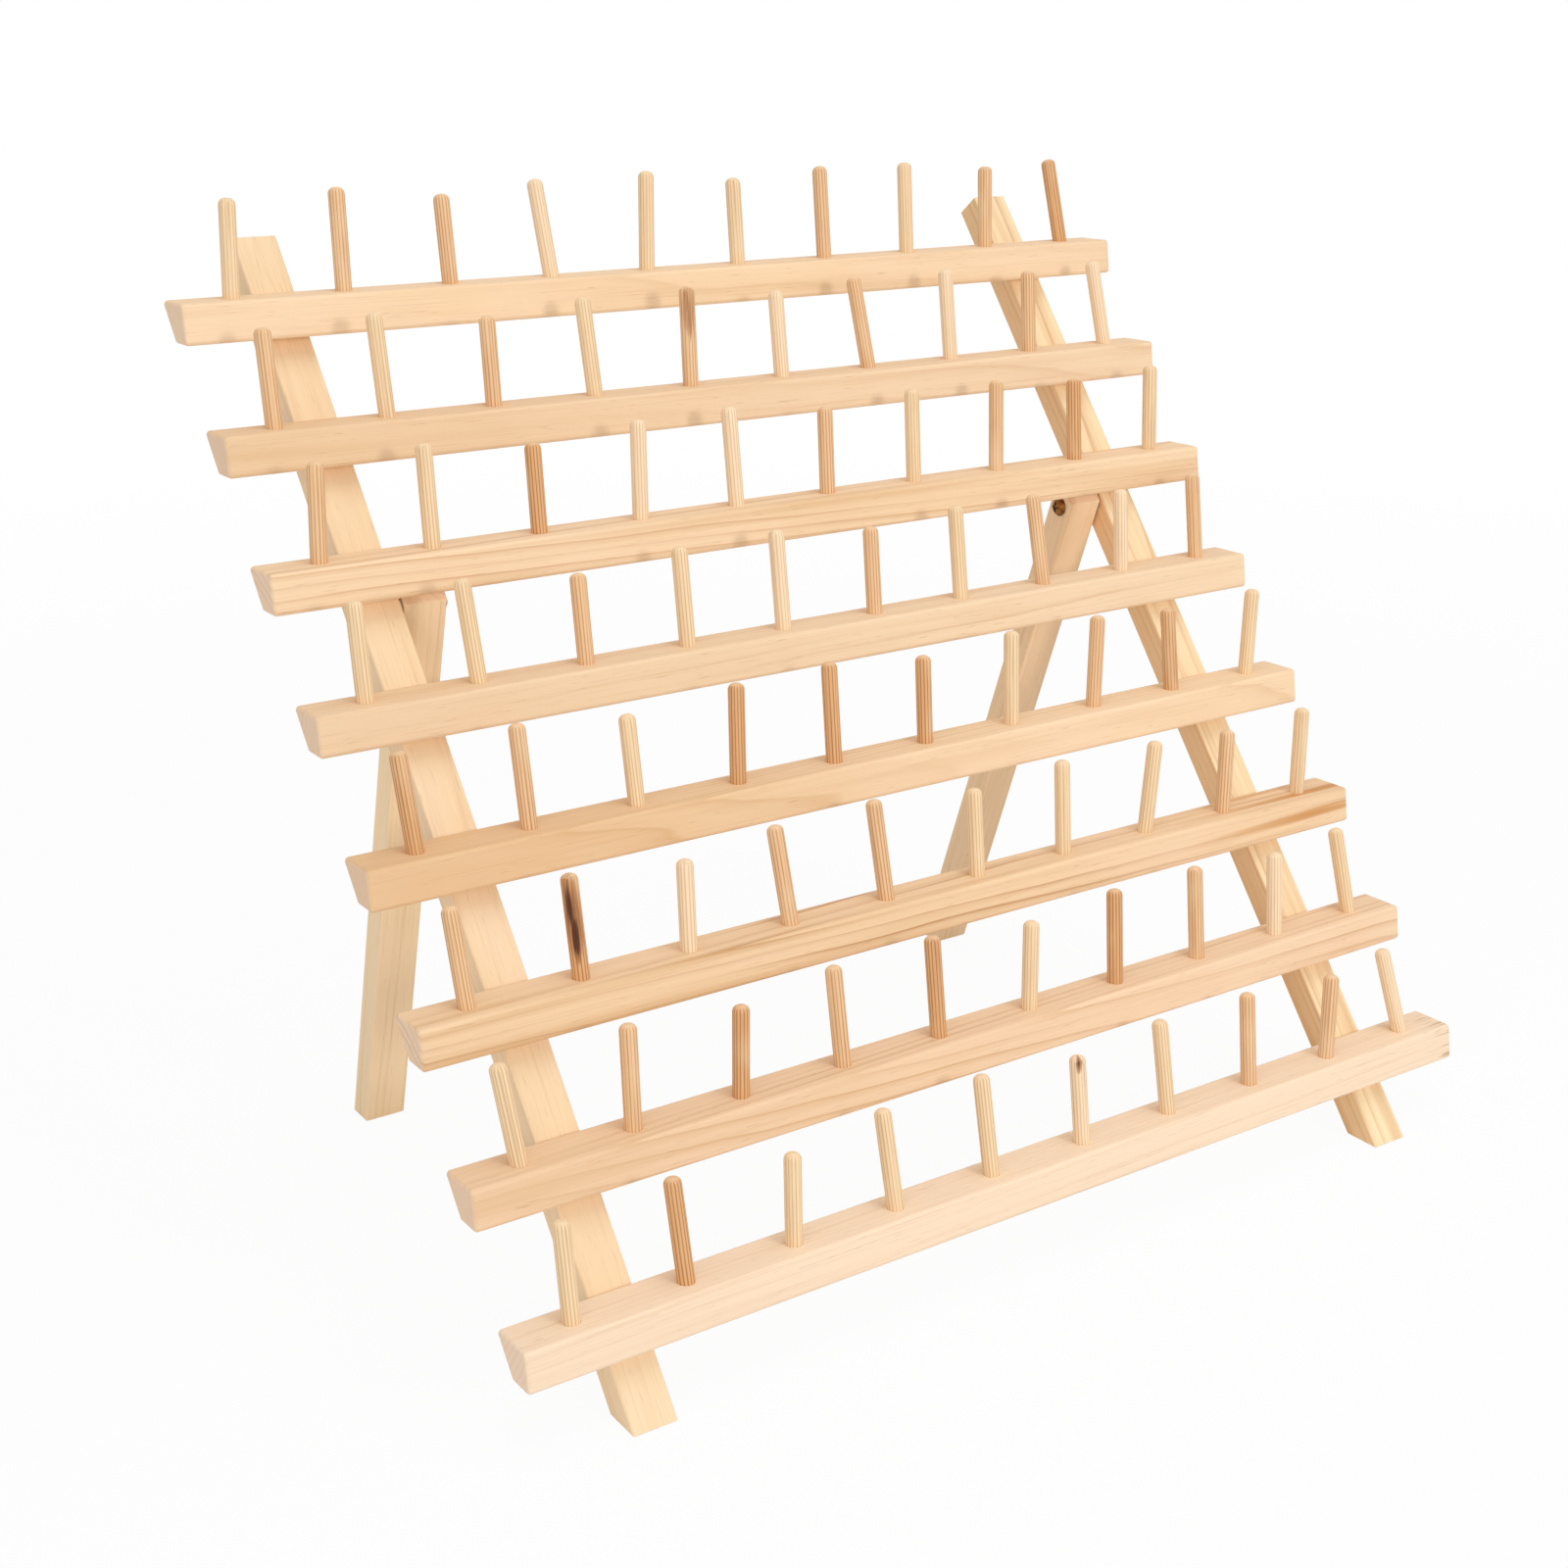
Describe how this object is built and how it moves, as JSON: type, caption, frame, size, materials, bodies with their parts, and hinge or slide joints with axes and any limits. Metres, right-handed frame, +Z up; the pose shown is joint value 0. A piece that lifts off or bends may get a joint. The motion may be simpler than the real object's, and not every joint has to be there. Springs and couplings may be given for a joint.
{
  "type": "thread spool holder",
  "caption": "Leaning wooden thread spool rack: bevelled rails of short dowel pegs, screwed to sloping uprights, propped by back legs that fold in on pivot screws.",
  "frame": {"origin": "on the floor, at the middle of the rack's width and depth", "axes": "+X along the rails to the viewer's right, +Y to the back, +Z up"},
  "size_m": [0.42, 0.2792, 0.3638],
  "materials": {
    "rail_pine": "bare sanded pine with soft lengthwise grain",
    "upright_pine": "bare sanded pine with soft lengthwise grain",
    "leg_pine": "bare sanded pine, a little darker",
    "dowel": "bare turned dowel with fine lengthwise fibre lines",
    "dark_bronze": "dark bronze plated screw",
    "zinc_steel": "bright zinc plated steel"
  },
  "bodies": {
    "frame": {"left_upright": "upright_pine", "right_upright": "upright_pine", "rail_1": "rail_pine", "rail_2": "rail_pine", "rail_3": "rail_pine", "rail_4": "rail_pine", "rail_5": "rail_pine", "rail_6": "rail_pine", "rail_7": "rail_pine", "rail_8": "rail_pine", "pegs_1": "dowel", "pegs_2": "dowel", "pegs_3": "dowel", "pegs_4": "dowel", "pegs_5": "dowel", "pegs_6": "dowel", "pegs_7": "dowel", "pegs_8": "dowel", "left_rail_screws": "zinc_steel", "right_rail_screws": "zinc_steel", "left_pivot_screw": "dark_bronze", "right_pivot_screw": "dark_bronze", "left_pivot_washer": "zinc_steel", "right_pivot_washer": "zinc_steel"},
    "left_leg": {"left_leg": "leg_pine"},
    "right_leg": {"right_leg": "leg_pine"}
  },
  "joints": [
    {"name": "left_leg_fold", "type": "hinge", "parent": "frame", "child": "left_leg", "pos_m": [-0.15175, 0.04507, 0.22528], "axis": [-1, 0, 0], "range_deg": [0, 53]},
    {"name": "right_leg_fold", "type": "hinge", "parent": "frame", "child": "right_leg", "pos_m": [0.15175, 0.04507, 0.22528], "axis": [-1, 0, 0], "range_deg": [0, 57]}
  ]
}
